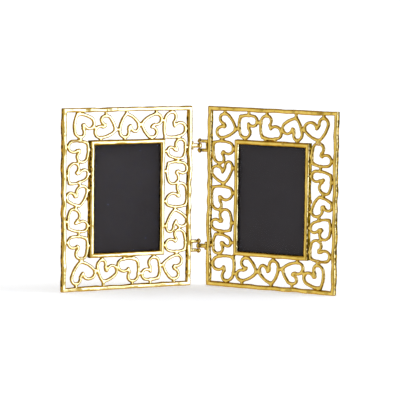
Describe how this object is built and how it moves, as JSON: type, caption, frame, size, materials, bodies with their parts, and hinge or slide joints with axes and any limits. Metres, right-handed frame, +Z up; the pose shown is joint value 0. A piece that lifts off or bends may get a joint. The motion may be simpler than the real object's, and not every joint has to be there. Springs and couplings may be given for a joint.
{
  "type": "double picture frame",
  "caption": "Free-standing hinged picture frame of two gold cast leaves, each with a glazed window inside a border of open wire hearts.",
  "frame": {"origin": "on the surface the frame stands on, under the middle of its box with the leaves turned 25 degrees each towards the viewer", "axes": "+X to the viewer's right along the pair of leaves, +Y away from the viewer, +Z up along the hinge axis"},
  "size_m": [0.1898, 0.0444, 0.127],
  "materials": {
    "plated_gold": "satin, hand hammered",
    "pale_gold": "polished",
    "clear_glass": "clear, polished",
    "grey_card": "plain dark grey card, satin",
    "black_felt": "black felt over board"
  },
  "bodies": {
    "left_leaf": {"left_outer_rail": "plated_gold", "left_bezel": "plated_gold", "left_top_hearts": "plated_gold", "left_bottom_hearts": "plated_gold", "left_inner_hearts": "plated_gold", "left_outer_hearts": "plated_gold", "left_hinge_fork": "plated_gold", "left_hinge_tongue": "plated_gold", "lower_hinge_pin": "pale_gold", "left_glass": "clear_glass", "left_photo_card": "grey_card", "left_backing_board": "black_felt", "left_button_screws": "pale_gold"},
    "right_leaf": {"right_outer_rail": "plated_gold", "right_bezel": "plated_gold", "right_top_hearts": "plated_gold", "right_bottom_hearts": "plated_gold", "right_inner_hearts": "plated_gold", "right_outer_hearts": "plated_gold", "right_hinge_fork": "plated_gold", "right_hinge_tongue": "plated_gold", "upper_hinge_pin": "pale_gold", "right_glass": "clear_glass", "right_photo_card": "grey_card", "right_backing_board": "black_felt", "right_button_screws": "pale_gold"},
    "left_inner_button": {"left_inner_turn_button": "pale_gold"},
    "left_outer_button": {"left_outer_turn_button": "pale_gold"},
    "right_inner_button": {"right_inner_turn_button": "pale_gold"},
    "right_outer_button": {"right_outer_turn_button": "pale_gold"}
  },
  "joints": [
    {"name": "leaf_hinge", "type": "hinge", "parent": "left_leaf", "child": "right_leaf", "pos_m": [0, 0.02072, 0], "axis": [0, 0, 1], "range_deg": [-128, 140]},
    {"name": "left_inner_button_turn", "type": "hinge", "parent": "left_leaf", "child": "left_inner_button", "pos_m": [-0.02767, 0.0151, 0.0635], "axis": [0.4226, -0.9063, 0], "continuous": true},
    {"name": "left_outer_button_turn", "type": "hinge", "parent": "left_leaf", "child": "left_outer_button", "pos_m": [-0.07643, -0.00764, 0.0635], "axis": [0.4226, -0.9063, 0], "continuous": true},
    {"name": "right_inner_button_turn", "type": "hinge", "parent": "right_leaf", "child": "right_inner_button", "pos_m": [0.02767, 0.0151, 0.0635], "axis": [-0.4226, -0.9063, 0], "continuous": true},
    {"name": "right_outer_button_turn", "type": "hinge", "parent": "right_leaf", "child": "right_outer_button", "pos_m": [0.07643, -0.00764, 0.0635], "axis": [-0.4226, -0.9063, 0], "continuous": true}
  ]
}
